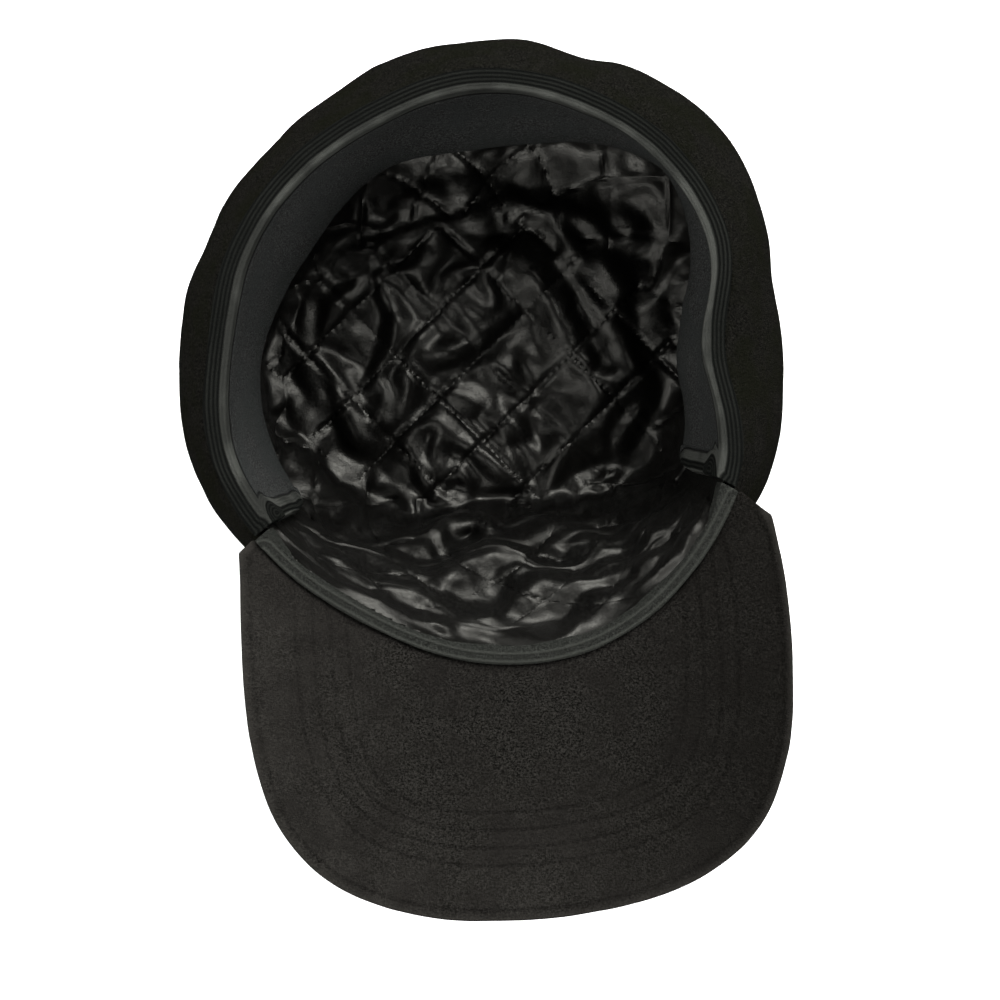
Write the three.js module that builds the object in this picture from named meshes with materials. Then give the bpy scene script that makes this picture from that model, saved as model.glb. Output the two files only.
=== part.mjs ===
// A soft wool cadet cap lying on its crown, with the hollow facing up.
// The origin is where the flat of the crown rests, +Z points up out of the
// hollow and the peak points towards -Y. All lengths are in millimetres.
import * as THREE from 'three';

// The cap's overall sizes
const rimWidth = 172;        // the opening from side to side
const rimLength = 195;       // the opening from front to back
const rimHeight = 88;        // from the resting surface up to the rim
const crownWidth = 209;      // the crown at its fullest, from side to side
const crownLength = 210;     // the crown at its fullest, from front to back
const bulgeHeight = 45;      // where the crown is fullest
const seamHeight = 19;       // the seam between the top panel and the side wall
const dentDepth = 3.2;       // the deepest dent between two folds of the wall

// Thicknesses of the cloth
const woolWall = 2;          // side wall and top panel
const liningEdge = 1.6;      // the lining where it is sewn in at the rim
const liningWall = 3.4;      // the quilt on its stitched lines
const puffHeight = 3.6;      // how far the quilt swells between those lines
const seamSwell = 0.2;       // the share of that left at the seam round the lining's bottom
const flapWall = 2.2;        // the ear flap's cloth
const hemExtra = 1.1;        // the flap's turned and stitched hem is this much thicker
const lapWall = 1.2;         // the hem where it laps over the top of the side wall
const tapeWall = 1.2;        // the tape round the front of the opening
const peakWall = 3.6;        // the peak, board and both covers together
const clearance = 0.3;       // left between two pieces that lie together

// Other sizes of the pieces
const weltRise = 1.2;        // how far the top seam stands out
const weltReach = 2.6;       // and how far up and down it fades
const flapFootHeight = 29;   // height of the folded-in flap's lower edge
const hemWidth = 9;
const hemStep = 1;           // the hem thins to the plain cloth over this length
const flapCorner = 8;        // radius of the flap's lower corners
const liningSet = 3;         // the lining stops this far below the rim
const liningSeam = 7;        // and is flat down to here, under the tape and the flap's hem
const quiltPitch = 25;       // the side of a quilted diamond
const tapeDrop = 5;          // how far the tape reaches down into the hollow
const tapeLap = 0.8;         // and out over the joint with the peak
const floorWidth = 150;      // the lining's round bottom
const floorLength = 104;
const flatShare = 0.8;       // the part of the top panel that lies flat
const peakWidth = 178;
const peakLength = 82.2;      // from the rim to the front edge, along the middle
const peakRise = 18;         // the middle of the front edge lies this far above the rim
const peakArch = 16;         // and the peak's two sides this far above its middle
const peakOffset = 13;      // the peak sits this far to one side of the crown's middle

// Where the pieces start and end, as bearings in degrees from +X towards +Y
const flapBearings = { from: -28.5, to: 221 };
const frontBearing = 270;
const endGap = 0.5;          // between the ends of the flap and those of the tape
const frontBearings = { from: flapBearings.to, to: 360 + flapBearings.from };
const tapeBearings = { from: frontBearings.from + endGap, to: frontBearings.to - endGap };

// Sections round the cap. Each column is a share of the size that it shapes.
const sections = [
  { bearing: 0, rim: 0.942, lift: 1.0, bulge: 1.024, seam: 0.985, foot: 0.90, floor: 0.96 },
  { bearing: 22.5, rim: 1.032, lift: 1.0, bulge: 1.062, seam: 0.95, foot: 1.03, floor: 1.05 },
  { bearing: 45, rim: 1.016, lift: 1.0, bulge: 1.117, seam: 0.93, foot: 1.06, floor: 1.13 },
  { bearing: 67.5, rim: 0.960, lift: 1.0, bulge: 1.082, seam: 0.93, foot: 0.93, floor: 1.05 },
  { bearing: 90, rim: 0.932, lift: 1.0, bulge: 1.047, seam: 0.93, foot: 0.82, floor: 1.0 },
  { bearing: 112.5, rim: 0.906, lift: 1.0, bulge: 1.017, seam: 0.93, foot: 0.84, floor: 1.0 },
  { bearing: 135, rim: 0.944, lift: 1.0, bulge: 0.982, seam: 0.93, foot: 0.81, floor: 1.0 },
  { bearing: 157.5, rim: 0.993, lift: 1.0, bulge: 0.991, seam: 0.93, foot: 0.84, floor: 1.0 },
  { bearing: 180, rim: 1.014, lift: 1.0, bulge: 0.996, seam: 0.93, foot: 0.90, floor: 1.0 },
  { bearing: 202.5, rim: 1.070, lift: 1.02, bulge: 1.018, seam: 0.93, foot: 0.90, floor: 1.03 },
  { bearing: 225, rim: 1.040, lift: 1.03, bulge: 0.99, seam: 0.93, foot: 0.86, floor: 1.08 },
  { bearing: 247.5, rim: 1.010, lift: 0.98, bulge: 0.97, seam: 0.92, foot: 0.76, floor: 1.02 },
  { bearing: 270, rim: 1.052, lift: 0.95, bulge: 0.97, seam: 0.90, foot: 0.70, floor: 1.0 },
  { bearing: 292.5, rim: 1.106, lift: 0.96, bulge: 0.98, seam: 0.92, foot: 0.74, floor: 1.0 },
  { bearing: 315, rim: 1.110, lift: 1.0, bulge: 1.0, seam: 0.95, foot: 0.84, floor: 1.0 },
  { bearing: 337.5, rim: 1.075, lift: 1.03, bulge: 1.068, seam: 0.985, foot: 0.93, floor: 0.96 },
];

// Dents between the folds of the side wall. Depth is a share of dentDepth.
const dents = [
  { bearing: 14, depth: 1.0, spread: 5 },
  { bearing: 71, depth: 1.1, spread: 4.5 },
  { bearing: 119, depth: 0.6, spread: 6 },
  { bearing: 132, depth: 0.3, spread: 7 },
  { bearing: 158, depth: 0.6, spread: 5 },
  { bearing: 342, depth: 0.3, spread: 4 },
];

// The peak's edge from its left end round to its right end. Across is a share
// of half the width and along a share of the length.
const peakEdge = [
  { across: -1.01, along: -0.43 },
  { across: -1.00, along: -0.26 },
  { across: -0.985, along: 0.02 },
  { across: -0.95, along: 0.31 },
  { across: -0.86, along: 0.60 },
  { across: -0.715, along: 0.80 },
  { across: -0.57, along: 0.90 },
  { across: -0.30, along: 0.985 },
  { across: -0.05, along: 1.0 },
  { across: 0.236, along: 0.974 },
  { across: 0.51, along: 0.90 },
  { across: 0.70, along: 0.80 },
  { across: 0.885, along: 0.605 },
  { across: 0.983, along: 0.31 },
  { across: 1.0, along: 0.02 },
  { across: 0.99, along: -0.276 },
  { across: 0.945, along: -0.58 },
];

// How finely the faces are cut
const ringSteps = 72;
const wallShares = [0, 0.03, 0.08, 0.22, 0.4, 0.58, 0.76, 0.92, 1];
const panelSteps = 4;
const flapSteps = 44;
const hemShares = [0.15, 0.5, 1];
const flapSpread = 2;
const liningDropSteps = 4;
const liningBendSteps = 4;
const liningFloorSteps = 6;
const tapeSteps = 24;
const peakSteps = 40;
const peakShares = [0, 0.15, 0.32, 0.5, 0.68, 0.84, 0.95, 1];

const radians = (degrees) => THREE.MathUtils.degToRad(degrees);
const mix = THREE.MathUtils.lerp;
const flat = (reach, height) => new THREE.Vector2(reach, height);

// A column of the sections table at any bearing, smoothly interpolated.
function around(column, bearing) {
  const step = 360 / sections.length;
  const turns = THREE.MathUtils.euclideanModulo(bearing, 360) / step;
  const index = Math.floor(turns);
  const [a, b, c, d] = [-1, 0, 1, 2].map((offset) => {
    const row = (index + offset + sections.length) % sections.length;
    return sections[row][column];
  });
  const t = turns - index;
  return 0.5 * (2 * b + (c - a) * t + (2 * a - 5 * b + 4 * c - d) * t ** 2
    + (3 * b - a - 3 * c + d) * t ** 3);
}

// The distance from the axis to an ellipse of this width and length.
function ellipseReach(width, length, bearing) {
  const across = Math.cos(radians(bearing)) * 2 / width;
  const along = Math.sin(radians(bearing)) * 2 / length;
  return 1 / Math.hypot(across, along);
}

function dentAt(bearing) {
  return dentDepth * dents.reduce((sum, dent) => {
    const away = THREE.MathUtils.euclideanModulo(bearing - dent.bearing + 180, 360) - 180;
    return sum + dent.depth * Math.exp(-((away / dent.spread) ** 2));
  }, 0);
}

const rimReach = (bearing) => ellipseReach(rimWidth, rimLength, bearing) * around('rim', bearing);
const rimTop = (bearing) => rimHeight * around('lift', bearing);
const bulgeReach = (bearing) => (
  ellipseReach(crownWidth, crownLength, bearing) * around('bulge', bearing) - dentAt(bearing)
);
const seamReach = (bearing) => bulgeReach(bearing) * around('seam', bearing);

// A point of the cap from its bearing and its place in the upright section there.
function place(bearing, point) {
  const angle = radians(bearing);
  return new THREE.Vector3(point.x * Math.cos(angle), point.x * Math.sin(angle), point.y);
}

// Moves a point of a section sideways: to the left of the direction given.
function shifted(point, direction, distance) {
  const length = direction.length();
  return flat(
    point.x - direction.y / length * distance,
    point.y + direction.x / length * distance,
  );
}

// The outer face of the side wall in the upright section, from the seam up to the rim.
function wallSection(bearing) {
  const rim = rimReach(bearing);
  const bulge = bulgeReach(bearing);
  const top = rimTop(bearing);
  const shoulderHeight = mix(bulgeHeight, top, 0.62);
  return new THREE.SplineCurve([
    flat(seamReach(bearing), seamHeight),
    flat(bulge, bulgeHeight),
    flat(mix(bulge, rim, 0.42), shoulderHeight),
    flat(rim, top),
  ]);
}

// How far the top seam stands out at this height.
const weltAt = (height) => weltRise * Math.exp(-(((height - seamHeight) / weltReach) ** 2));

function wallPoint(section, share, inset) {
  const point = section.getPoint(share);
  const inner = shifted(point, section.getTangent(share), inset);
  return flat(inner.x + weltAt(point.y), inner.y);
}

// The wall's outer reach at this distance below the rim.
function reachBelowRim(bearing, drop) {
  const section = wallSection(bearing);
  const height = rimTop(bearing) - drop;
  let low = 0;
  let high = 1;
  for (let turn = 0; turn < 24; turn += 1) {
    const middle = (low + high) / 2;
    if (section.getPoint(middle).y < height) low = middle;
    else high = middle;
  }
  return section.getPoint(low).x;
}

// The face of the hollow behind the flap: from the rim down to the flap's foot.
function hollowLine(bearing) {
  const foot = ellipseReach(rimWidth, rimLength, bearing) * around('foot', bearing);
  const start = flat(rimReach(bearing) - woolWall - clearance - liningEdge, rimTop(bearing));
  const end = flat(foot + flapWall + clearance, flapFootHeight);
  return { start, end, direction: end.clone().sub(start) };
}

// A closed solid between two faces, each a list of rows of points.
// around: the rows close on themselves. centre: the last column is one point.
// plug: the last column's ring is filled by a flat face.
function sheetSolid(front, back, { around: closes = false, centre = false, plug = false } = {}) {
  const rows = front.length;
  const columns = front[0].length;
  const ringed = centre ? columns - 1 : columns;
  const positions = [];
  const triangles = [];
  const keep = (point) => positions.push(point.x, point.y, point.z) / 3 - 1;
  const numbers = [front, back].map((face) => {
    const grid = face.map((row) => row.slice(0, ringed).map(keep));
    if (centre) {
      const middle = keep(face[0][ringed]);
      grid.forEach((row) => row.push(middle));
    }
    return grid;
  });
  const quad = (a, b, c, d) => {
    if (a !== b && b !== c && a !== c) triangles.push(a, b, c);
    if (a !== c && c !== d && a !== d) triangles.push(a, c, d);
  };
  const [top, under] = numbers;
  const lastRow = closes ? rows : rows - 1;
  for (let i = 0; i < lastRow; i += 1) {
    const next = (i + 1) % rows;
    for (let j = 0; j < columns - 1; j += 1) {
      quad(top[i][j], top[next][j], top[next][j + 1], top[i][j + 1]);
      quad(under[i][j + 1], under[next][j + 1], under[next][j], under[i][j]);
    }
    quad(under[i][0], under[next][0], top[next][0], top[i][0]);
    if (!centre && !plug) {
      const end = columns - 1;
      quad(top[i][end], top[next][end], under[next][end], under[i][end]);
    }
  }
  if (!closes) {
    for (let j = 0; j < columns - 1; j += 1) {
      quad(top[0][j], top[0][j + 1], under[0][j + 1], under[0][j]);
      quad(under[rows - 1][j], under[rows - 1][j + 1], top[rows - 1][j + 1], top[rows - 1][j]);
    }
  }
  if (plug) {
    [front, back].forEach((face, side) => {
      const ring = face.map((row) => row[columns - 1]);
      const outline = ring.map((point) => flat(point.x, point.y));
      THREE.ShapeUtils.triangulateShape(outline, []).forEach((corners) => {
        const found = corners.map((corner) => numbers[side][corner][columns - 1]);
        triangles.push(...(side === 0 ? found : found.reverse()));
      });
    });
  }
  return facingOut(positions, triangles);
}

// Makes the geometry, with its triangles turned so that they face out.
function facingOut(positions, triangles) {
  const corner = (n) => new THREE.Vector3().fromArray(positions, triangles[n] * 3);
  let volume = 0;
  for (let n = 0; n < triangles.length; n += 3) {
    volume += corner(n).dot(corner(n + 1).cross(corner(n + 2)));
  }
  const geometry = new THREE.BufferGeometry();
  geometry.setAttribute('position', new THREE.Float32BufferAttribute(positions, 3));
  geometry.setIndex(volume < 0 ? triangles.slice().reverse() : triangles);
  geometry.computeVertexNormals();
  return geometry;
}

// The bearings of the rows of a piece.
function bearings(from, to, steps, closes) {
  const count = closes ? steps : steps + 1;
  return Array.from({ length: count }, (_, n) => mix(from, to, n / steps));
}

const wholeRound = bearings(0, 360, ringSteps, true);

function crownSide() {
  const face = (inset) => wholeRound.map((bearing) => {
    const section = wallSection(bearing);
    return wallShares.map((share) => {
      const point = wallPoint(section, share, inset);
      if (share === 0) point.y = seamHeight + clearance / 2;
      return place(bearing, point);
    });
  });
  return sheetSolid(face(0), face(woolWall), { around: true });
}

function crownTop() {
  const face = (inset) => wholeRound.map((bearing) => {
    const seam = seamReach(bearing);
    const rest = seam * flatShare;
    const rise = seamHeight - clearance / 2;
    const curve = Array.from({ length: panelSteps + 1 }, (_, n) => {
      const turn = Math.PI / 2 * (1 - n / panelSteps);
      const reach = rest + (seam - rest - inset) * Math.sin(turn);
      const height = rise - (rise - inset) * Math.cos(turn);
      return flat(reach + weltAt(height) * Math.sin(turn), height);
    });
    return curve.map((point) => place(bearing, point));
  });
  return sheetSolid(face(0), face(woolWall), { around: true, plug: true });
}

// The swelling of the quilt, from 0 on its stitched lines to 1 between them.
function puff(bearing, distance) {
  const across = distance * Math.cos(radians(bearing));
  const along = distance * Math.sin(radians(bearing));
  const first = Math.sin(Math.PI * (across + along) / Math.SQRT2 / quiltPitch);
  const second = Math.sin(Math.PI * (across - along) / Math.SQRT2 / quiltPitch);
  return Math.sqrt(Math.abs(first * second));
}

// The edge of the lining's round bottom, on its upper face.
function floorEdge(bearing) {
  const reach = ellipseReach(floorWidth, floorLength, bearing) * around('floor', bearing);
  return flat(reach, woolWall + clearance + liningWall);
}

// The lining's side in the upright section: down the hollow line and round the bend.
function liningDrop(bearing) {
  const { start, end, direction } = hollowLine(bearing);
  const edge = floorEdge(bearing);
  const below = (drop) => start.clone().addScaledVector(direction, drop / Math.abs(direction.y));
  const top = below(liningSeam);
  const lead = direction.clone().setLength(end.distanceTo(edge) * 0.4);
  const bend = new THREE.CubicBezierCurve(
    end,
    end.clone().add(lead),
    flat(mix(edge.x, end.x, 0.45), edge.y),
    edge,
  );
  const points = [below(liningSet)];
  for (let n = 0; n < liningDropSteps; n += 1) {
    points.push(top.clone().lerp(end, n / liningDropSteps));
  }
  return [...points, ...bend.getPoints(liningBendSteps)];
}

// The lining's round bottom in the upright section, from its edge to the middle.
function liningFloor(bearing) {
  const edge = floorEdge(bearing);
  const reach = edge.x - clearance;
  return Array.from({ length: liningFloorSteps + 1 }, (_, n) => (
    flat(reach * (1 - n / liningFloorSteps), edge.y)
  ));
}

// A quilted sheet along a section that runs inwards, ends level and changes with
// the bearing. The diamonds follow the length along the cloth from the middle.
function quilted(sectionAt, wallAt, fadeAt, options) {
  const inner = [];
  const outer = [];
  wholeRound.forEach((bearing) => {
    const points = sectionAt(bearing);
    const last = points.length - 1;
    const steps = points.map((point, n) => (n ? point.distanceTo(points[n - 1]) : 0));
    let distance = points[last].x + steps.reduce((sum, step) => sum + step);
    const innerRow = [];
    const outerRow = [];
    points.forEach((point, n) => {
      distance -= steps[n];
      const direction = n === last
        ? flat(-1, 0)
        : points[n + 1].clone().sub(points[Math.max(0, n - 1)]);
      const swell = puffHeight * fadeAt(bearing, n) * puff(bearing, distance);
      innerRow.push(place(bearing, shifted(point, direction, -swell)));
      outerRow.push(place(bearing, shifted(point, direction, wallAt(n))));
    });
    inner.push(innerRow);
    outer.push(outerRow);
  });
  return sheetSolid(inner, outer, { around: true, ...options });
}

// The flap covers this row of the lining, or the row next to it.
function isUnderFlap(bearing) {
  const step = 360 / ringSteps;
  const from = flapBearings.from - step;
  return THREE.MathUtils.euclideanModulo(bearing - from, 360) < flapBearings.to + step - from;
}

function liningSide() {
  const bendRow = liningDropSteps + 1;
  const edgeRow = bendRow + liningBendSteps;
  const fadeAt = (bearing, n) => {
    if (n <= bendRow && isUnderFlap(bearing)) return 0;
    if (n === edgeRow) return seamSwell;
    return THREE.MathUtils.clamp((n - 1) / 2, 0, 1);
  };
  const wallAt = (n) => mix(liningEdge, liningWall, Math.min(1, n / bendRow));
  return quilted(liningDrop, wallAt, fadeAt, {});
}

function liningTop() {
  const fadeAt = (bearing, n) => (n === 0 ? seamSwell : 1);
  return quilted(liningFloor, () => liningWall, fadeAt, { centre: true });
}

// The bearings of the flap's rows, with two more at each end for the hem there.
function flapRows() {
  const { from, to } = flapBearings;
  const turnAt = (bearing, length) => length / rimReach(bearing) / radians(1);
  const hemTurns = [from, to].map((bearing) => turnAt(bearing, hemWidth));
  const stepTurns = [from, to].map((bearing) => turnAt(bearing, hemWidth + hemStep));
  return [
    from,
    from + hemTurns[0],
    ...bearings(from + stepTurns[0], to - stepTurns[1], flapSteps, false),
    to - hemTurns[1],
    to,
  ];
}

// The part of an edge that laps over the top of the side wall: its end and its corner.
function lap(bearing, { inset, above, beyond }) {
  const { start, direction } = hollowLine(bearing);
  const height = rimTop(bearing) + clearance + above;
  const inner = shifted(start, direction, -inset);
  const slope = direction.x / direction.y;
  return [
    flat(rimReach(bearing) + beyond, height),
    flat(inner.x + slope * (height - inner.y), height),
  ];
}

function earFlap() {
  const { from, to } = flapBearings;
  const face = (isInner) => flapRows().map((bearing) => {
    const { start, end, direction } = hollowLine(bearing);
    const toEnd = Math.min(bearing - from, to - bearing) * radians(1) * rimReach(bearing);
    const cornerPlace = Math.min(toEnd, flapCorner);
    const cornerCut = flapCorner - Math.sqrt(cornerPlace * (2 * flapCorner - cornerPlace));
    const length = start.distanceTo(end) - clearance * 4 - cornerCut;
    const downs = hemShares.map((share) => share * hemWidth);
    for (let n = 0; n <= flapSpread; n += 1) {
      downs.push(mix(hemWidth + hemStep, length, n / flapSpread));
    }
    const side = downs.map((down) => {
      const point = start.clone().add(direction.clone().setLength(down));
      const hem = Math.min(down, toEnd) < hemWidth + hemStep / 2 ? hemExtra : 0;
      return shifted(point, direction, -(isInner ? clearance + flapWall + hem : clearance));
    });
    const over = lap(bearing, isInner
      ? { inset: clearance + flapWall + hemExtra, above: lapWall, beyond: 0 }
      : { inset: clearance, above: 0, beyond: 0 });
    return [...over, ...side].map((point) => place(bearing, point));
  });
  return sheetSolid(face(true), face(false));
}

function rimTape() {
  const { from, to } = tapeBearings;
  const face = (depth) => bearings(from, to, tapeSteps, false).map((bearing) => {
    const { start, direction } = hollowLine(bearing);
    const low = shifted(start, direction, -clearance - depth)
      .add(direction.clone().setLength(tapeDrop));
    const over = lap(bearing, { inset: clearance + depth, above: depth, beyond: tapeLap });
    return [...over, low].map((point) => place(bearing, point));
  });
  return sheetSolid(face(tapeWall), face(0));
}

// The height of the peak's upper face: it rises to the front and to both sides.
function peakHeight(x, y) {
  const across = (x - peakOffset) * 2 / peakWidth;
  const along = (-rimReach(frontBearing) - y) / peakLength;
  return rimTop(frontBearing) + along * peakRise + across ** 2 * peakArch;
}

function peak() {
  const edge = new THREE.CatmullRomCurve3(peakEdge.map((row) => {
    const x = peakOffset + row.across * peakWidth / 2;
    const y = -rimReach(frontBearing) - row.along * peakLength;
    return new THREE.Vector3(x, y, 0);
  }));
  const { from, to } = frontBearings;
  const face = (depth) => bearings(from, to, peakSteps, false).map((bearing, n) => {
    const seam = place(bearing, flat(reachBelowRim(bearing, depth) + clearance, 0));
    const lift = rimTop(bearing) - peakHeight(seam.x, seam.y);
    const end = edge.getPointAt(n / peakSteps);
    return peakShares.map((share) => {
      const point = seam.clone().lerp(end, share);
      point.z = peakHeight(point.x, point.y) + lift * (1 - share) ** 2 - depth;
      return point;
    });
  });
  return sheetSolid(face(0), face(peakWall));
}

function material(hex, roughness) {
  return new THREE.MeshStandardMaterial({ color: hex, roughness, metalness: 0 });
}

const wool = material(0x1f1f1d, 0.95);
const flannel = material(0x26282a, 0.9);
const satin = material(0x0b0b0a, 0.3);

const pieces = [
  { name: 'crown_top', geometry: crownTop(), finish: wool },
  { name: 'crown_side', geometry: crownSide(), finish: wool },
  { name: 'peak', geometry: peak(), finish: wool },
  { name: 'rim_tape', geometry: rimTape(), finish: flannel },
  { name: 'ear_flap', geometry: earFlap(), finish: flannel },
  { name: 'lining_side', geometry: liningSide(), finish: satin },
  { name: 'lining_top', geometry: liningTop(), finish: satin },
];

const cap = new THREE.Group();
pieces.forEach(({ name, geometry, finish }) => {
  const mesh = new THREE.Mesh(geometry, finish);
  mesh.name = name;
  cap.add(mesh);
});

export default cap;
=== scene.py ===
import math

import bpy
import numpy as np
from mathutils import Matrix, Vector, noise
from mathutils.bvhtree import BVHTree


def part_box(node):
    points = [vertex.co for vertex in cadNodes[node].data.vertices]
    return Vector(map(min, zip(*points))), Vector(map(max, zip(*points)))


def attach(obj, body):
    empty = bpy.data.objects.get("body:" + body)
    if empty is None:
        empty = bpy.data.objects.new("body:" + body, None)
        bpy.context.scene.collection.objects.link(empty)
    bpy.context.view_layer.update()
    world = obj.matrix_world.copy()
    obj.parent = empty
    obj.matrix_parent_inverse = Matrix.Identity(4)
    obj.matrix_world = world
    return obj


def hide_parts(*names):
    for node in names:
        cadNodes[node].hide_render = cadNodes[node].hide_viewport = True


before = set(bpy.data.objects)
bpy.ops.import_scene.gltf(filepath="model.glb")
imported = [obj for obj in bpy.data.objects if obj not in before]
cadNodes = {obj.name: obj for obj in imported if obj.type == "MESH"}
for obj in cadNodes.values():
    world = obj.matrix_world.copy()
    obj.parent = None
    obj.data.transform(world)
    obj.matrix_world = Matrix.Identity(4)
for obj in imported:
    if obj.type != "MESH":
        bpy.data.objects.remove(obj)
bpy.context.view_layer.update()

mm = 0.001
print("frame loaded:", ", ".join(sorted(cadNodes)))


# Work on meshes

def pick(piece):
    if bpy.context.mode != "OBJECT":
        bpy.ops.object.mode_set(mode="OBJECT")
    bpy.ops.object.select_all(action="DESELECT")
    piece.select_set(True)
    bpy.context.view_layer.objects.active = piece


def choose(piece, chosen):
    # edit mode with only these vertices selected
    pick(piece)
    bpy.ops.object.mode_set(mode="EDIT")
    bpy.ops.mesh.select_mode(type="VERT")
    bpy.ops.mesh.select_all(action="DESELECT")
    bpy.ops.object.mode_set(mode="OBJECT")
    piece.data.vertices.foreach_set("select", np.array(chosen, dtype=bool))
    bpy.ops.object.mode_set(mode="EDIT")


def readPoints(piece):
    points = np.empty(len(piece.data.vertices) * 3)
    piece.data.vertices.foreach_get("co", points)
    return points.reshape(-1, 3)


def readNormals(piece):
    normals = np.empty(len(piece.data.vertices) * 3)
    piece.data.vertices.foreach_get("normal", normals)
    return normals.reshape(-1, 3)


def writePoints(piece, points):
    piece.data.vertices.foreach_set("co", np.ascontiguousarray(points, dtype=np.float32).ravel())
    piece.data.update()


def writeValue(piece, name, values):
    layer = piece.data.attributes.new(name, "FLOAT", "POINT")
    layer.data.foreach_set("value", np.ascontiguousarray(values, dtype=np.float32))


def applyModifier(piece, kind, **settings):
    pick(piece)
    modifier = piece.modifiers.new(kind.lower(), kind)
    for name, value in settings.items():
        setattr(modifier, name, value)
    bpy.ops.object.modifier_apply(modifier=modifier.name)


def subdivide(piece, levels):
    applyModifier(piece, "SUBSURF", levels=levels, render_levels=levels)


def smooth(piece):
    pick(piece)
    bpy.ops.object.shade_smooth()


def copyNode(nodeName, pieceName):
    # a merged copy in quads, to be dressed in place of the frame's own node
    piece = bpy.data.objects.new(pieceName, cadNodes[nodeName].data.copy())
    bpy.context.scene.collection.objects.link(piece)
    pick(piece)
    bpy.ops.object.mode_set(mode="EDIT")
    bpy.ops.mesh.select_all(action="SELECT")
    bpy.ops.mesh.remove_doubles(threshold=0.02 * mm)
    bpy.ops.mesh.tris_convert_to_quads(face_threshold=math.radians(60), shape_threshold=math.radians(60))
    bpy.ops.object.mode_set(mode="OBJECT")
    return piece


def roundEdges(piece, width, sharpness=50):
    pick(piece)
    bpy.ops.object.mode_set(mode="EDIT")
    bpy.ops.mesh.select_mode(type="EDGE")
    bpy.ops.mesh.select_all(action="DESELECT")
    bpy.ops.mesh.edges_select_sharp(sharpness=math.radians(sharpness))
    bpy.ops.mesh.bevel(offset=width, segments=2, affect="EDGES")
    bpy.ops.object.mode_set(mode="OBJECT")


def cloudy(points, size, seed):
    # smooth noise from -1 to 1 with patches of this size, the same at each run
    shift = Vector((seed * 17.3, seed * 5.7, seed * 11.1))
    return np.array([noise.noise(Vector(point) / size + shift) for point in points])


def bearingOf(points):
    return np.arctan2(points[:, 1], points[:, 0])


def rise(values, low, high):
    # 0 up to the low value, 1 from the high one on, and even between them
    return np.clip((values - low) / (high - low), 0, 1)


def roundLine(line, times=2):
    # cuts the corners of a line of points, so that it bends evenly
    line = np.array(line, dtype=float)
    for _ in range(times):
        near, far = line[:-1], line[1:]
        cut = np.empty((2 * len(near), line.shape[1]))
        cut[0::2], cut[1::2] = 0.75 * near + 0.25 * far, 0.25 * near + 0.75 * far
        line = np.vstack([line[:1], cut, line[-1:]])
    return line


def nearestOn(points, line):
    # each point's gap to a line of points, its nearest place on it, and the way that it runs there
    gaps = np.full(len(points), 1e9)
    feet, ways = np.empty(points.shape), np.empty(points.shape)
    for near, far in zip(line[:-1], line[1:]):
        along = far - near
        share = np.clip((points - near) @ along / max(along @ along, 1e-12), 0, 1)
        foot = near + share[:, None] * along
        gap = np.linalg.norm(points - foot, axis=1)
        closer = gap < gaps
        gaps[closer], feet[closer], ways[closer] = gap[closer], foot[closer], along
    return gaps, feet, ways


def gapTo(points, line):
    # the shortest way from each point to a line of points
    return nearestOn(points, line)[0]


def evenly(line, step):
    # points at even steps along a line
    line = np.array(line, dtype=float)
    length = np.concatenate([[0], np.cumsum(np.linalg.norm(np.diff(line, axis=0), axis=1))])
    count = max(2, int(round(length[-1] / step)) + 1)
    even = np.linspace(0, length[-1], count)
    return np.stack([np.interp(even, length, line[:, n]) for n in range(line.shape[1])], 1)


def stepIn(line, distance):
    # a plan line moved to its left by this distance
    way = np.gradient(line, axis=0)
    way /= np.linalg.norm(way, axis=1)[:, None]
    return line + np.stack([-way[:, 1], way[:, 0]], 1) * distance


def landOn(piece, plan):
    # the places and normals where plan points dropped on a piece come to lie
    landed = []
    for x, y in plan:
        hit, where, normal, _ = piece.ray_cast(Vector((x, y, 300 * mm)), Vector((0, 0, -1)))
        landed.append((where, normal) if hit else None)
    return landed


def sewStitches(name, rows, size, look, sink=0.25):
    # threads modelled once and copied along each row of places and normals
    length, width = size
    bpy.ops.object.select_all(action="DESELECT")
    bpy.ops.mesh.primitive_uv_sphere_add(segments=8, ring_count=5, radius=0.5)
    thread = bpy.context.active_object
    pick(thread)
    bpy.ops.object.mode_set(mode="EDIT")
    bpy.ops.mesh.select_all(action="SELECT")
    bpy.ops.transform.resize(value=(length, width, width * 0.8))
    bpy.ops.object.mode_set(mode="OBJECT")
    made = []
    for row in rows:
        for here, following in zip(row[:-1], row[1:]):
            if here is None or following is None:
                continue
            way = following[0] - here[0]
            if way.length > 3 * length:
                continue
            up = (here[1] + following[1]).normalized()
            way = (way - up * way.dot(up)).normalized()
            side = up.cross(way)
            middle = (here[0] + following[0]) / 2 + up * width * (0.4 - sink)
            stitch = bpy.data.objects.new(name, thread.data.copy())
            turn = np.array([way, side, up]).T
            writePoints(stitch, readPoints(stitch) @ turn.T + np.array(middle))
            bpy.context.scene.collection.objects.link(stitch)
            made.append(stitch)
    bpy.data.objects.remove(thread)
    bpy.ops.object.select_all(action="DESELECT")
    for stitch in made:
        stitch.select_set(True)
    bpy.context.view_layer.objects.active = made[0]
    bpy.ops.object.join()
    made[0].name = name
    finishPiece(made[0], look, [])
    return made[0]


def finishPiece(piece, look, nodeNames):
    smooth(piece)
    piece.data.materials.clear()
    piece.data.materials.append(look)
    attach(piece, "root")
    if nodeNames:
        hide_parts(*nodeNames)


# Materials

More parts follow.
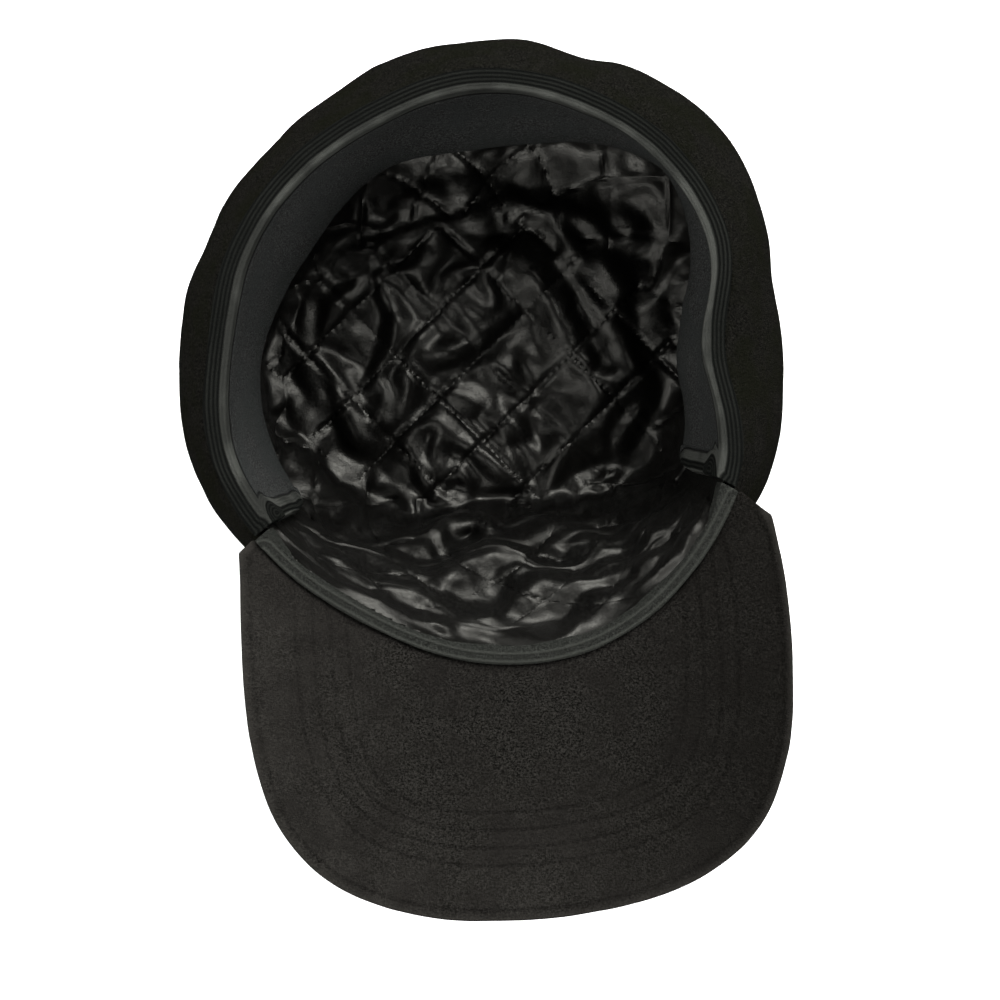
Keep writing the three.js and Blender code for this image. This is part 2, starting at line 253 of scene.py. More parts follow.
class Wire:
    def __init__(self, tree, socket):
        self.tree = tree
        self.socket = socket

    def maths(self, operation, first, second=None):
        made = self.tree.nodes.new("ShaderNodeMath")
        made.operation = operation
        for slot, value in zip(made.inputs, (first, second)):
            if isinstance(value, Wire):
                self.tree.links.new(value.socket, slot)
            elif value is not None:
                slot.default_value = value
        return Wire(self.tree, made.outputs[0])

    def __add__(self, other):
        return self.maths("ADD", self, other)

    __radd__ = __add__

    def __sub__(self, other):
        return self.maths("SUBTRACT", self, other)

    def __rsub__(self, other):
        return self.maths("SUBTRACT", other, self)

    def __mul__(self, other):
        return self.maths("MULTIPLY", self, other)

    __rmul__ = __mul__


class Look:
    def __init__(self, name, **shaderValues):
        self.material = bpy.data.materials.new(name)
        self.material.use_nodes = True
        self.tree = self.material.node_tree
        self.shader = self.tree.nodes["Principled BSDF"]
        for label, value in shaderValues.items():
            self.shader.inputs[label.replace("_", " ")].default_value = value

    def add(self, kind, settings=None, values=None, output=0):
        made = self.tree.nodes.new("ShaderNode" + kind)
        for name, value in (settings or {}).items():
            setattr(made, name, value)
        for label, value in (values or {}).items():
            if isinstance(value, Wire):
                self.tree.links.new(value.socket, made.inputs[label])
            else:
                made.inputs[label].default_value = value
        return Wire(self.tree, made.outputs[output])

    def place(self):
        return self.add("TexCoord", output="Object")

    def axis(self, number):
        # the object's own x, y or z
        return self.add("SeparateXYZ", values={"Vector": self.place()}, output=number)

    def grain(self, place, scale, detail=2.0, rough=0.5, stretch=None):
        if stretch:
            place = self.add("Mapping", values={"Vector": place, "Scale": stretch})
        return self.add("TexNoise", values={
            "Vector": place, "Scale": scale, "Detail": detail, "Roughness": rough})

    def band(self, value, low, high):
        return self.add("MapRange", {"interpolation_type": "SMOOTHSTEP"}, {
            "Value": value, "From Min": low, "From Max": high})

    def blend(self, factor, first, second):
        return self.add("Mix", {"data_type": "RGBA"}, {
            "Factor": factor, 6: first, 7: second}, output=2)

    def value(self, name):
        # a value that the vertices carry
        return self.add("Attribute", {"attribute_name": name}, output=2)

    def line(self, value, place, width):
        # 1 on a line at this place of a value, 0 at its width away
        return 1 - self.band(self.maths("ABSOLUTE", value - place), 0.0, width)

    def maths(self, operation, first, second=None):
        return first.maths(operation, first, second)

    def feed(self, label, wire):
        self.tree.links.new(wire.socket, self.shader.inputs[label])

    def bump(self, height, distance):
        self.feed("Normal", self.add("Bump", values={"Height": height, "Distance": distance}))


# grains to the metre, and how far the strands are drawn out
weave = dict(speckle=1500, strands=1000, drawn=3.2, patches=60, roughness=0.84, nap=0.55 * mm)


def woolLook(name, dark, light, tint, nap=1.0, dress=None):
    look = Look(name, Sheen_Weight=0.0, Specular_IOR_Level=0.0)
    place = look.place()
    speckle = look.grain(place, weave["speckle"], 3, 0.75)
    strands = look.grain(place, weave["strands"], 3, 0.6, stretch=(1, weave["drawn"], 1))
    crossed = look.grain(place, weave["strands"], 3, 0.6, stretch=(weave["drawn"], 1, 1))
    patches = look.grain(place, weave["patches"], 4, 0.65)
    fuzz = look.band(0.5 * speckle + 0.28 * strands + 0.22 * crossed, 0.4, 0.66)
    cloth = look.blend(fuzz, dark, light)
    cloth = look.blend(look.band(patches, 0.4, 0.66) * 0.6, cloth, tint)
    height = speckle + 0.8 * strands + 0.8 * crossed + 1.1 * patches
    if dress:
        cloth, height = dress(look, cloth, height)
    look.feed("Base Color", cloth)
    look.feed("Roughness", weave["roughness"] + 0.14 * fuzz)
    look.bump(height, weave["nap"] * nap)
    return look.material


peakRows = [3.2 * mm, 17 * mm, 22.5 * mm, 28 * mm, 33.5 * mm]
# painted shade in the grooves, painted light at the left and front, painted shade at the right, and a pale
# rim
peakNapAndPaintedLight = dict(
    groove=1.1 * mm, grooveShadeColour=(0.003, 0.0028, 0.0025, 1), paintedLight=(0.030, 0.0285, 0.025, 1), litPatch=85,
    paintedLightSide=(-105 * mm, 0.0), paintedLightFront=(-178 * mm, -130 * mm),
    shaded=(0.0022, 0.0021, 0.0017, 1), shadedSide=(20 * mm, 105 * mm),
    rim=(0.026, 0.0245, 0.0215, 1), rimWidth=(0.3 * mm, 2.6 * mm),
)


def dressPeak(look, cloth, height):
    # rows of stitching that follow the edge, each in a slight groove darkened with painted shade
    edge = look.value("edge")
    grooves = look.line(edge, peakRows[0], peakNapAndPaintedLight["groove"])
    for row in peakRows[1:]:
        grooves = look.maths("MAXIMUM", grooves, look.line(edge, row, peakNapAndPaintedLight["groove"]))
    # painted shade: the grooves are darkened in colour
    cloth = look.blend(0.16 * grooves, cloth, peakNapAndPaintedLight["grooveShadeColour"])
    # painted light: the cloth is painted paler at the left and the front edge, in uneven patches, and
    # painted shade darkens the right
    across, along = look.axis(0), look.axis(1)
    paintedLight = 1 - look.band(across, *peakNapAndPaintedLight["paintedLightSide"]) + 0.4 * (1 - look.band(along, *peakNapAndPaintedLight["paintedLightFront"]))
    litPatchy = look.band(look.grain(look.place(), peakNapAndPaintedLight["litPatch"], 3, 0.6), 0.35, 0.65)
    # painted light at the left and front
    cloth = look.blend(0.28 * paintedLight * (0.35 + 0.65 * litPatchy), cloth, peakNapAndPaintedLight["paintedLight"])
    # painted shade at the right
    cloth = look.blend(0.55 * look.band(across, *peakNapAndPaintedLight["shadedSide"]), cloth, peakNapAndPaintedLight["shaded"])
    rim = 1 - look.band(edge, *peakNapAndPaintedLight["rimWidth"])
    cloth = look.blend(0.3 * rim, cloth, peakNapAndPaintedLight["rim"])
    return cloth, height - 0.7 * grooves


# the hem's light and pale colours are painted highlights, and the crease colour is a painted shadow
flapHem = dict(
    width=(8.2 * mm, 9.0 * mm), pitch=1.35 * mm, wander=1.3 * mm, roll=(4.6 * mm, 5.4 * mm),
    crease=8.8 * mm, creaseWidth=0.9 * mm, creaseShadowColour=(0.0022, 0.0023, 0.0022, 1),
    dark=(0.0022, 0.0024, 0.0022, 1), light=(0.0100, 0.0106, 0.0093, 1), pale=(0.0280, 0.0290, 0.0260, 1),
)


def dressFlap(look, cloth, height):
    # the turned hem: narrow ridges outside painted lighter on their tops, a roll inside them painted paler,
    # both painted highlights, and a painted shadow in the crease at its end
    hem = look.value("hem")
    wander = look.grain(look.place(), 45, 2, 0.5)
    onHem = 1 - look.band(hem, *flapHem["width"])
    waves = look.maths("SINE", (hem + flapHem["wander"] * wander) * (2 * math.pi / flapHem["pitch"]))
    lines = (0.5 + 0.5 * waves) * (0.15 + 0.8 * wander)
    roll = look.band(hem, *flapHem["roll"]) * (0.5 + 0.9 * look.band(wander, 0.4, 0.65))
    # painted highlight on the tops of the ridges
    hemCloth = look.blend(lines, flapHem["dark"], flapHem["light"])
    # painted highlight on the roll
    hemCloth = look.blend(roll * 0.85, hemCloth, flapHem["pale"])
    fold = look.line(hem, flapHem["crease"], flapHem["creaseWidth"])
    cloth = look.blend(onHem, cloth, hemCloth)
    # painted shadow in the crease
    cloth = look.blend(fold * 0.7, cloth, flapHem["creaseShadowColour"])
    return cloth, height + 1.1 * lines * onHem + 1.3 * roll * onHem - 1.3 * fold


# the edge colour is a painted highlight for the raised edges
tapeEdges = dict(outer=0.7 * mm, inner=3.4 * mm, width=0.9 * mm, colour=(0.034, 0.0355, 0.031, 1))


def dressTape(look, cloth, height):
    # both edges stand up a little and are painted paler, a painted highlight on their tops
    across = look.value("across")
    outer = look.line(across, tapeEdges["outer"], tapeEdges["width"])
    inner = look.line(across, tapeEdges["inner"], tapeEdges["width"])
    edges = look.maths("MAXIMUM", outer, inner)
    # painted highlight on the raised edges
    cloth = look.blend(edges * 0.35, cloth, tapeEdges["colour"])
    return cloth, height + 1.6 * edges


satinWeave = dict(
    dark=(0.0004, 0.0004, 0.0004, 1), light=(0.0016, 0.0015, 0.0013, 1), tint=(1, 0.985, 0.9, 1), shine=0.2,
    threads=2400, sparkle=850, patches=70, smoothest=0.26, seam=0.8 * mm, depth=0.045 * mm,
    swags=52, swagStretch=(0.6, 0.9, 1.5), swagHeight=430, frontWall=(-62 * mm, -46 * mm),
)


def satinLook():
    look = Look("black_satin", Specular_IOR_Level=satinWeave["shine"], Specular_Tint=satinWeave["tint"])
    place = look.place()
    threads = look.grain(place, satinWeave["threads"], 2, 0.65)
    sparkle = look.grain(place, satinWeave["sparkle"], 3, 0.75)
    patches = look.grain(place, satinWeave["patches"], 3, 0.55)
    seam = look.line(look.value("quilt"), 0.0, satinWeave["seam"]) * look.value("loose")
    # on the steep front wall the satin hangs in soft swags
    front = 1 - look.band(look.axis(1), *satinWeave["frontWall"])
    swags = look.grain(place, satinWeave["swags"], 1, 0.4, stretch=satinWeave["swagStretch"])
    rough = 0.07 * patches + 0.12 * look.band(sparkle, 0.42, 0.62) + 0.1 * front
    look.feed("Base Color", look.blend(patches, satinWeave["dark"], satinWeave["light"]))
    look.feed("Roughness", satinWeave["smoothest"] + rough)
    height = threads + 2.2 * sparkle - 6 * seam + satinWeave["swagHeight"] * swags * front
    look.bump(height, satinWeave["depth"])
    return look.material


ground = dict(
    size=6, height=-0.3 * mm, grain=220, dark=(0.88, 0.88, 0.88, 1), light=(0.9, 0.9, 0.895, 1),
    glow=0.25, shine=0.2,
)


def floorLook():
    look = Look("pale_floor", Specular_IOR_Level=ground["shine"], Emission_Color=(1, 1, 1, 1))
    look.shader.inputs["Emission Strength"].default_value = ground["glow"]
    grain = look.grain(look.place(), ground["grain"], 2, 0.5)
    look.feed("Base Color", look.blend(grain, ground["dark"], ground["light"]))
    look.feed("Roughness", 0.8 + 0.1 * grain)
    return look.material


crownWool = woolLook(
    "crown_wool", dark=(0.0009, 0.0009, 0.0008, 1), light=(0.0092, 0.0089, 0.0075, 1),
    tint=(0.0028, 0.0031, 0.0017, 1),
)
peakWool = woolLook(
    "peak_wool", dark=(0.0015, 0.0014, 0.00125, 1), light=(0.0195, 0.0184, 0.0164, 1),
    tint=(0.0060, 0.0055, 0.0049, 1), dress=dressPeak,
)
flapCloth = woolLook(
    "flap_cloth", dark=(0.0070, 0.0073, 0.0070, 1), light=(0.0330, 0.0340, 0.0325, 1),
    tint=(0.0145, 0.0159, 0.0153, 1), nap=0.7, dress=dressFlap,
)
tapeCloth = woolLook(
    "tape_cloth", dark=(0.0045, 0.0048, 0.0042, 1), light=(0.022, 0.023, 0.0205, 1),
    tint=(0.0095, 0.010, 0.0088, 1), nap=0.5, dress=dressTape,
)
satin = satinLook()
print("materials made")


# Camera, floor and light

view = dict(lens=71.8, sensor=36, place=(8 * mm, -50 * mm, 738 * mm))

camera = bpy.data.objects.new("camera", bpy.data.cameras.new("camera"))
bpy.context.scene.collection.objects.link(camera)
camera.data.lens = view["lens"]
camera.data.sensor_width = view["sensor"]
camera.location = view["place"]
bpy.context.scene.camera = camera

bpy.ops.object.select_all(action="DESELECT")
bpy.ops.mesh.primitive_plane_add(size=ground["size"], location=(0, 0, ground["height"]))
floor = bpy.context.active_object
floor.name = "floor"
floor.data.transform(floor.matrix_world)
floor.matrix_world.identity()
floor.data.materials.append(floorLook())

lamps = [
    dict(name="back", place=(0.2, 1.95, 1.15), size=1.3, power=112),
    dict(name="high_back", place=(0.6, 1.25, 1.75), size=0.8, power=44),
    dict(name="right", place=(1.75, 0.5, 1.05), size=1.0, power=60),
    dict(name="left", place=(-1.8, 0.1, 1.0), size=0.9, power=40),
    dict(name="high_left", place=(-0.9, -0.5, 1.8), size=0.7, power=14),
    dict(name="front", place=(-0.2, -1.95, 1.0), size=1.0, power=44),
]

for lamp in lamps:
    light = bpy.data.lights.new(lamp["name"], "AREA")
    light.size = lamp["size"]
    light.energy = lamp["power"]
    stand = bpy.data.objects.new(lamp["name"], light)
    bpy.context.scene.collection.objects.link(stand)
    stand.location = lamp["place"]
    stand.rotation_euler = (-Vector(lamp["place"])).to_track_quat("-Z", "Y").to_euler()

# the room is dark overhead and pale low down, so that flat satin stays black
skyShade = {"From Min": 0.35, "From Max": 0.95, "To Min": 0.34, "To Max": 0.015}
sky = bpy.data.worlds.new("studio")
sky.use_nodes = True
room = sky.node_tree
ray = room.nodes.new("ShaderNodeTexCoord")
split = room.nodes.new("ShaderNodeSeparateXYZ")
spread = room.nodes.new("ShaderNodeMapRange")
for label, value in skyShade.items():
    spread.inputs[label].default_value = value
room.links.new(ray.outputs["Generated"], split.inputs[0])
room.links.new(split.outputs["Z"], spread.inputs["Value"])
room.links.new(spread.outputs[0], room.nodes["Background"].inputs["Strength"])
room.nodes["Background"].inputs["Color"].default_value = (1, 1, 1, 1)
bpy.context.scene.world = sky
bpy.context.scene.view_settings.view_transform = "Standard"
print("stage set")


# Shell of the crown

crown = dict(
    edge=0.7 * mm, slack=0.9 * mm, slackSize=24 * mm, crease=0.3 * mm, creaseSize=8 * mm,
    seam=19 * mm, stitch=(2.2 * mm, 0.42 * mm), stitches=230, rowGap=3.4 * mm,
)


def wrinkle(piece, settings, seed):
    # slack cloth: wide soft waves with smaller creases on them
    points, normals = readPoints(piece), readNormals(piece)
    move = settings["slack"] * cloudy(points, settings["slackSize"], seed)
    move += settings["crease"] * cloudy(points, settings["creaseSize"], seed + 3)
    writePoints(piece, points + normals * move[:, None])


crownSide = copyNode("crown_side", "crown_side_wool")
roundEdges(crownSide, crown["edge"])
subdivide(crownSide, 2)
wrinkle(crownSide, crown, 1)
finishPiece(crownSide, crownWool, ["crown_side"])

crownTop = copyNode("crown_top", "crown_top_wool")
roundEdges(crownTop, crown["edge"])
subdivide(crownTop, 2)
wrinkle(crownTop, crown, 2)
finishPiece(crownTop, crownWool, ["crown_top"])


def seamRows():
    # two rows round the side, both a little above the seam with the top panel
    rows = []
    for height in (crown["seam"] + 2 * crown["rowGap"], crown["seam"] + crown["rowGap"]):
        row = []
        for bearing in np.linspace(0, 2 * math.pi, crown["stitches"]):
            way = Vector((math.cos(bearing), math.sin(bearing), 0))
            hit, where, normal, _ = crownSide.ray_cast(way * 300 * mm + Vector((0, 0, height)), -way)
            row.append((where, normal) if hit else None)
        rows.append(row)
    return rows


crownStitches = sewStitches("crown_seam_stitches", seamRows(), crown["stitch"], crownWool)
print("crown made")


# Peak

peakShape = dict(
    edge=1.1 * mm, slack=0.25 * mm, slackSize=20 * mm, crease=0.08 * mm, creaseSize=6 * mm,
    middle=(0, -75 * mm), stitch=(2.2 * mm, 0.3 * mm), pace=3.3 * mm,
)


def outerLine(piece, middle, bearings, weight=0.0):
    # the points of a piece that reach furthest out from a middle at each of the bearings,
    # where the weight also counts their height
    points = readPoints(piece)
    plan = points[:, :2] - np.array(middle)
    turn = np.degrees(np.arctan2(plan[:, 1], plan[:, 0]))
    reach = np.hypot(plan[:, 0], plan[:, 1]) + weight * points[:, 2]
    step = (bearings[-1] - bearings[0]) / (len(bearings) - 1)
    found = []
    for bearing in bearings:
        near = np.abs((turn - bearing + 180) % 360 - 180) < step * 0.75
        if near.any():
            found.append(points[np.flatnonzero(near)[np.argmax(reach[near])]])
    return np.array(found)


peak = copyNode("peak", "peak_wool_cover")
roundEdges(peak, peakShape["edge"])
subdivide(peak, 3)
wrinkle(peak, peakShape, 4)
peakEdge = roundLine(outerLine(peak, peakShape["middle"], np.arange(-196, 17, 4))[:, :2])
writeValue(peak, "edge", gapTo(readPoints(peak)[:, :2], peakEdge))
finishPiece(peak, peakWool, ["peak"])

peakStitchRows = []
for row in peakRows:
    inner = evenly(stepIn(peakEdge, row), peakShape["pace"])
    inner = inner[np.abs(gapTo(inner, peakEdge) - row) < 0.6 * mm]
    peakStitchRows.append(landOn(peak, inner))
peakStitches = sewStitches("peak_stitches", peakStitchRows, peakShape["stitch"], peakWool, 0.1)
# the threads take the plain cloth's colour, away from the grooves' painted shade and the pale rim
writeValue(peakStitches, "edge", np.full(len(peakStitches.data.vertices), 8 * mm))
print("peak made")


# Ear flap and tape

flapShape = dict(
    edge=0.5 * mm, slack=0.5 * mm, slackSize=22 * mm, crease=0.12 * mm, creaseSize=7 * mm, endHem=3.6 * mm,
    # at each bearing in degrees, how far the foot leans in, in millimetres
    hang=[(-180, 1), (-150, 0), (-35, 0), (-15, 4), (0, 7), (15, 10), (30, 6), (45, 2), (60, 4), (75, 7),
          (90, 6), (105, 6), (120, 4), (135, 2.5), (150, 3), (180, 1)],
)
tapeShape = dict(
    narrow=0.78, ends=(-139, -29), edge=0.4 * mm, slack=0.25 * mm, slackSize=14 * mm, crease=0.1 * mm,
    creaseSize=5 * mm,
)


def endLine(piece, bearing, steps=8):
    # the inner edge of the flap's end at this bearing, from the rim down
    points = readPoints(piece)
    turn = np.abs((np.degrees(bearingOf(points)) - bearing + 180) % 360 - 180)
    points = points[turn < 1.6]
    reach = np.hypot(points[:, 0], points[:, 1])
    heights = np.linspace(points[:, 2].max() - 8 * mm, points[:, 2].min() + 2 * mm, steps)
    line = []
    for height in heights:
        near = np.abs(points[:, 2] - height) < 4 * mm
        if near.any():
            line.append(points[near][np.argmin(reach[near])])
    return np.array(line)


def hangIn(piece, table, foot=30 * mm, bend=62 * mm):
    # the loose foot of the flap leans into the hollow by the table's amounts
    points = readPoints(piece)
    bearing = np.degrees(bearingOf(points))
    lean = np.interp(bearing, *np.array(table).T) * mm
    low = 1 - rise(points[:, 2], foot, bend)
    move = lean * low * low * (3 - 2 * low)
    points[:, :2] -= points[:, :2] / np.hypot(points[:, 0], points[:, 1])[:, None] * move[:, None]
    writePoints(piece, points)


def drawTo(piece, line, share):
    # draws each point towards the nearest one of a line, down to its share of the way
    points = readPoints(piece)
    feet = nearestOn(points, line)[1]
    writePoints(piece, feet + (points - feet) * share[:, None])


flap = copyNode("ear_flap", "ear_flap_cloth")
roundEdges(flap, flapShape["edge"])
subdivide(flap, 3)
hangIn(flap, flapShape["hang"])
hemLine = outerLine(flap, (0, 0), np.arange(-28, 221, 4), 0.7)
hemLine = np.vstack([endLine(flap, -28.5)[::-1], hemLine, endLine(flap, 221)])
flapPoints = readPoints(flap)
# down the flap's ends the hem is narrower
narrower = flapShape["endHem"] * (1 - rise(flapPoints[:, 2], 70 * mm, 76 * mm))
writeValue(flap, "hem", gapTo(flapPoints, roundLine(hemLine, 1)) + narrower)
wrinkle(flap, flapShape, 6)
finishPiece(flap, flapCloth, ["ear_flap"])

tape = copyNode("rim_tape", "rim_tape_cloth")
roundEdges(tape, tapeShape["edge"])
subdivide(tape, 3)
tapeLine = roundLine(outerLine(tape, (0, 0), np.arange(-138, -29, 4), 0.7), 1)
tapeLine = np.vstack([3 * tapeLine[0] - 2 * tapeLine[1], tapeLine, 3 * tapeLine[-1] - 2 * tapeLine[-2]])
# its ends keep their width, so that they cover the corners by the flap
tapeTurn = np.degrees(bearingOf(readPoints(tape)))
fromEnd = np.minimum(*[np.abs(tapeTurn - end) for end in tapeShape["ends"]])
drawTo(tape, tapeLine, 1 - (1 - tapeShape["narrow"]) * rise(fromEnd, 1, 8))
writeValue(tape, "across", gapTo(readPoints(tape), tapeLine))
wrinkle(tape, tapeShape, 8)
finishPiece(tape, tapeCloth, ["rim_tape"])
print("flap and tape made")


# Lining

lining = dict(
    span=310 * mm, cell=1.94 * mm, heart=60 * mm, floorWall=3.9 * mm, rimWall=1.4 * mm, leastWall=2.2 * mm,
    pitch=22.6 * mm, phase=(-1.1 * mm, 3.3 * mm), around=85 * mm, seamWidth=0.9 * mm, crest=0.45 * mm,
    flapFrom=-33, flapTo=225, flapFoot=29.5 * mm, tapeLift=4.2 * mm, tapeBulge=1.9 * mm,
    steep=(0.55, 0.9), frontWall=(-67 * mm, -55 * mm), calmWall=(-64 * mm, -50 * mm), ridge=1.5,
    # shares of the way out to the rim: where bags fade, folds end, the satin lifts, bulges and is sewn
    bagsFade=(0.83, 0.95), foldsEnd=(0.935, 0.985), lifts=(0.86, 0.98), bulges=(0.9, 0.95, 0.955, 1),
    sewn=0.97,
    wide=dict(height=2.8 * mm, size=17 * mm, seed=12), fine=dict(height=0.35 * mm, size=7 * mm, seed=14),
    groove=0.4 * mm, back=0.7 * mm, backRings=14, frames=22, cap=6 * mm,
)
satinCloth = dict(
    quality=5, mass=0.05, tension_stiffness=20, compression_stiffness=20, shear_stiffness=5,
    bending_stiffness=2.5, vertex_group_mass="sewn", shrink_min=-0.035, use_pressure=True,
    uniform_pressure_force=1.0,
)

# where the satin lies in folds, as plan lines in millimetres: how high, how wide, and the line
ridges = [
    (3.0, 6, [(-35, 55), (-28, 59), (-19, 62), (-5, 65)]),
    (3.2, 4, [(-36, 39), (-35, 43), (-29, 46), (-14, 49), (-4, 52), (1, 53)]),
    (2.0, 3, [(-53, 35), (-49, 39), (-40, 42), (-44, 34), (-52, 35)]),
    (3.0, 3.5, [(-57, 32), (-62, 26), (-63, 19), (-63, 7)]),
    (3.2, 4.5, [(-57, 7), (-55, 15), (-51, 22), (-44, 28)]),
    (2.8, 3, [(-14, 45), (-21, 41), (-22, 35), (-29, 33), (-37, 32), (-35, 25), (-30, 15)]),
    (2.6, 3, [(-14, 45), (-15, 38), (-20, 35), (-20, 30)]),
    (3.0, 3.5, [(-30, 15), (-31, 7), (-35, -1), (-38, -5), (-34, -11), (-36, -21)]),
    (3.4, 4, [(-62, 5), (-54, -1), (-51, -9), (-49, -16), (-44, -28)]),
    (2.4, 3, [(-69, 22), (-71, 14), (-68, 9), (-64, 2), (-63, -5), (-59, -10), (-58, -15)]),
    (3.0, 4, [(-71, 6), (-73, -1), (-73, -9)]),
    (3.0, 3, [(-73, -15), (-72, -10), (-68, -11), (-67, -23), (-67, -36)]),
    (2.6, 3, [(-10, 23), (-12, 29), (-10, 34), (-1, 35), (7, 33), (7, 41)]),
    (2.6, 2.5, [(-8, 31), (-3, 24), (5, 18), (6, 24), (1, 32)]),
    (3.0, 7, [(-8, 23), (-4, 16), (2, 9)]),
    (2.8, 4, [(-21, 9), (-25, 0), (-25, -10), (-27, -19)]),
    (2.6, 4, [(-19, 5), (-11, 4), (-3, 7), (8, 15)]),
    (2.4, 3, [(-10, -7), (1, 0), (8, 1), (15, -5), (19, -12)]),
    (2.2, 3, [(-17, -10), (-8, -11), (0, -15)]),
    (2.8, 3.5, [(7, 57), (15, 58), (23, 56), (33, 55), (42, 51)]),
    (3.0, 3.5, [(29, 52), (31, 47), (35, 42), (39, 37)]),
    (2.8, 3, [(42, 51), (46, 46), (51, 44), (56, 47), (57, 52), (53, 54)]),
    (2.4, 2, [(31, 39), (35, 33), (41, 24), (45, 17), (52, 10)]),
    (3.0, 4, [(46, 38), (49, 32), (52, 26), (50, 20)]),
    (3.4, 5, [(81, 39), (76, 39), (73, 34), (68, 28), (62, 20)]),
    (2.8, 4, [(44, 9), (47, 3)]),
    (2.8, 4, [(53, 7), (56, -1), (59, -8)]),
    (3.2, 7, [(19, 33), (24, 26), (28, 17), (34, 6)]),
    (3.6, 9, [(39, 1), (44, -8), (42, -18), (34, -26), (29, -36), (25, -47)]),
    (2.6, 3, [(46, -3), (53, -9), (59, -12), (60, -18), (55, -22), (52, -28)]),
    (2.4, 3, [(45, -20), (44, -34)]),
    (3.0, 3.5, [(-26, -28), (-23, -35), (-19, -42), (-14, -50), (-6, -50), (-2, -45), (-7, -39)]),
    (3.0, 4, [(-24, -25), (-15, -20), (-10, -27), (0, -32), (10, -40), (16, -45)]),
    (2.8, 3, [(-14, -25), (-15, -34), (-12, -42)]),
    (2.8, 3, [(5, -19), (9, -25), (12, -34), (15, -43), (22, -50)]),
    (2.8, 3, [(8, -17), (16, -26), (21, -34), (23, -42)]),
    (2.4, 2.5, [(1, -46), (15, -46)]),
    (2.8, 3.5, [(-36, -43), (-29, -47), (-23, -53)]),
    (3.0, 7, [(-62, -21), (-63, -32), (-64, -42), (-58, -47)]),
    (3.2, 3.5, [(-56, -51), (-50, -50), (-46, -54), (-47, -60), (-49, -64), (-49, -69), (-43, -70),
                (-34, -71), (-26, -74), (-20, -78), (-15, -83)]),
    (3.0, 3.5, [(-63, -52), (-58, -54), (-56, -62)]),
    (3.0, 3.5, [(-31, -83), (-24, -85), (-18, -86), (-13, -90), (-10, -94)]),
    (2.8, 3, [(-10, -79), (-10, -87), (-10, -94)]),
    (3.4, 4.5, [(-27, -66), (-17, -65), (-7, -59), (1, -57), (5, -63), (10, -73), (16, -81)]),
    (2.8, 5, [(-10, -80), (-5, -74), (2, -68), (8, -67)]),
    (3.2, 4.5, [(17, -72), (24, -68), (30, -65), (40, -63), (46, -65), (47, -69), (41, -74), (37, -76),
                (43, -77), (49, -79), (54, -78), (56, -72), (61, -66)]),
    (2.6, 3.5, [(17, -72), (24, -76), (29, -81), (35, -83), (45, -84), (53, -83)]),
    (2.8, 4, [(61, -66), (59, -62), (54, -58), (61, -60), (71, -59), (74, -57)]),
    (3.0, 5, [(61, -49), (68, -50), (74, -53)]),
    (3.0, 3.5, [(45, -58), (51, -53), (56, -50)]),
    (2.2, 2.5, [(44, -45), (49, -41)]),
    (3.6, 7, [(77, -23), (78, -30), (79, -37), (76, -43), (72, -50)]),
    (2.2, 3, [(37, -46), (41, -54), (42, -58)]),
    (2.4, 3, [(33, -84), (34, -90), (36, -93)]),
    (2.4, 4, [(-2, -92), (5, -89)]),
]
valleys = [
    (2.5, 4, [(-44, 32), (-34, 37), (-25, 41), (-14, 46), (1, 48), (19, 48)]),
    (2.5, 3.5, [(19, 17), (8, 9), (1, 3), (-6, -4), (-18, -12), (-26, -21), (-32, -28), (-37, -36)]),
    (3.0, 5, [(19, 17), (19, 7), (20, -6), (22, -21), (23, -35), (23, -50)]),
    (2.2, 3, [(23, -51), (30, -45), (39, -38), (49, -36)]),
    (3.0, 4, [(-37, -36), (-33, -46), (-28, -57), (-21, -54), (-10, -52), (3, -49), (16, -49), (23, -52)]),
    (2.6, 1.6, [(17, -49), (17, -64), (16, -82), (16, -92)]),
    (2.6, 3.5, [(-20, -77), (-13, -74), (-7, -66), (0, -60)]),
    (2.6, 4, [(30, -73), (37, -70), (43, -66)]),
    (2.6, 3.5, [(49, -66), (49, -72), (51, -77)]),
    (2.4, 3, [(-46, -66), (-38, -66)]),
    (2.4, 3.5, [(-38, -4), (-47, 1), (-54, 4), (-61, 5)]),
    (2.6, 4, [(-39, 27), (-37, 12), (-40, -1)]),
    (2.6, 5, [(-52, -24), (-47, -34), (-39, -39)]),
    (3.0, 6, [(59, 38), (59, 23), (63, 9), (65, -6), (63, -24), (59, -39)]),
    (2.6, 4, [(35, 27), (41, 12), (48, 1)]),
]
# where it bags out of the wall: how far up, how long the fall behind the edge is, and the edge
terraces = [
    (20, 19, [(-6, -69), (2, -66), (10, -66), (16, -70)]),
    (14, 15, [(19, -78), (27, -75), (36, -78), (46, -82)]),
    (10, 9, [(18, -59), (27, -58), (36, -60), (44, -64)]),
    (9.5, 8, [(-52, -67), (-43, -68), (-32, -71), (-21, -75)]),
    (9, 7.5, [(-33, -81), (-26, -80), (-19, -81), (-14, -84)]),
    (9, 7.5, [(-22, -67), (-15, -60), (-6, -56), (2, -56)]),
    (7, 6, [(-29, -66), (-24, -65), (-19, -69)]),
    (8, 6, [(-54, -48), (-47, -49), (-44, -53)]),
    (9, 7, [(44, -72), (52, -73), (60, -68)]),
    (11, 9, [(58, -50), (64, -48), (72, -47)]),
    (9, 7.5, [(59, -59), (64, -57), (71, -56)]),
    (10, 12, [(-59, -24), (-59, -32), (-59, -39), (-56, -46)]),
    (7, 9, [(-3, 61), (-14, 58), (-25, 55), (-34, 52)]),
    (5, 6, [(1, 52), (-10, 49), (-21, 47), (-30, 43)]),
]


def treeOf(*nodeNames):
    points, faces = [], []
    for nodeName in nodeNames:
        data = cadNodes[nodeName].data
        start = len(points)
        points += [vertex.co.copy() for vertex in data.vertices]
        faces += [[start + n for n in face.vertices] for face in data.polygons]
    return BVHTree.FromPolygons(points, faces)


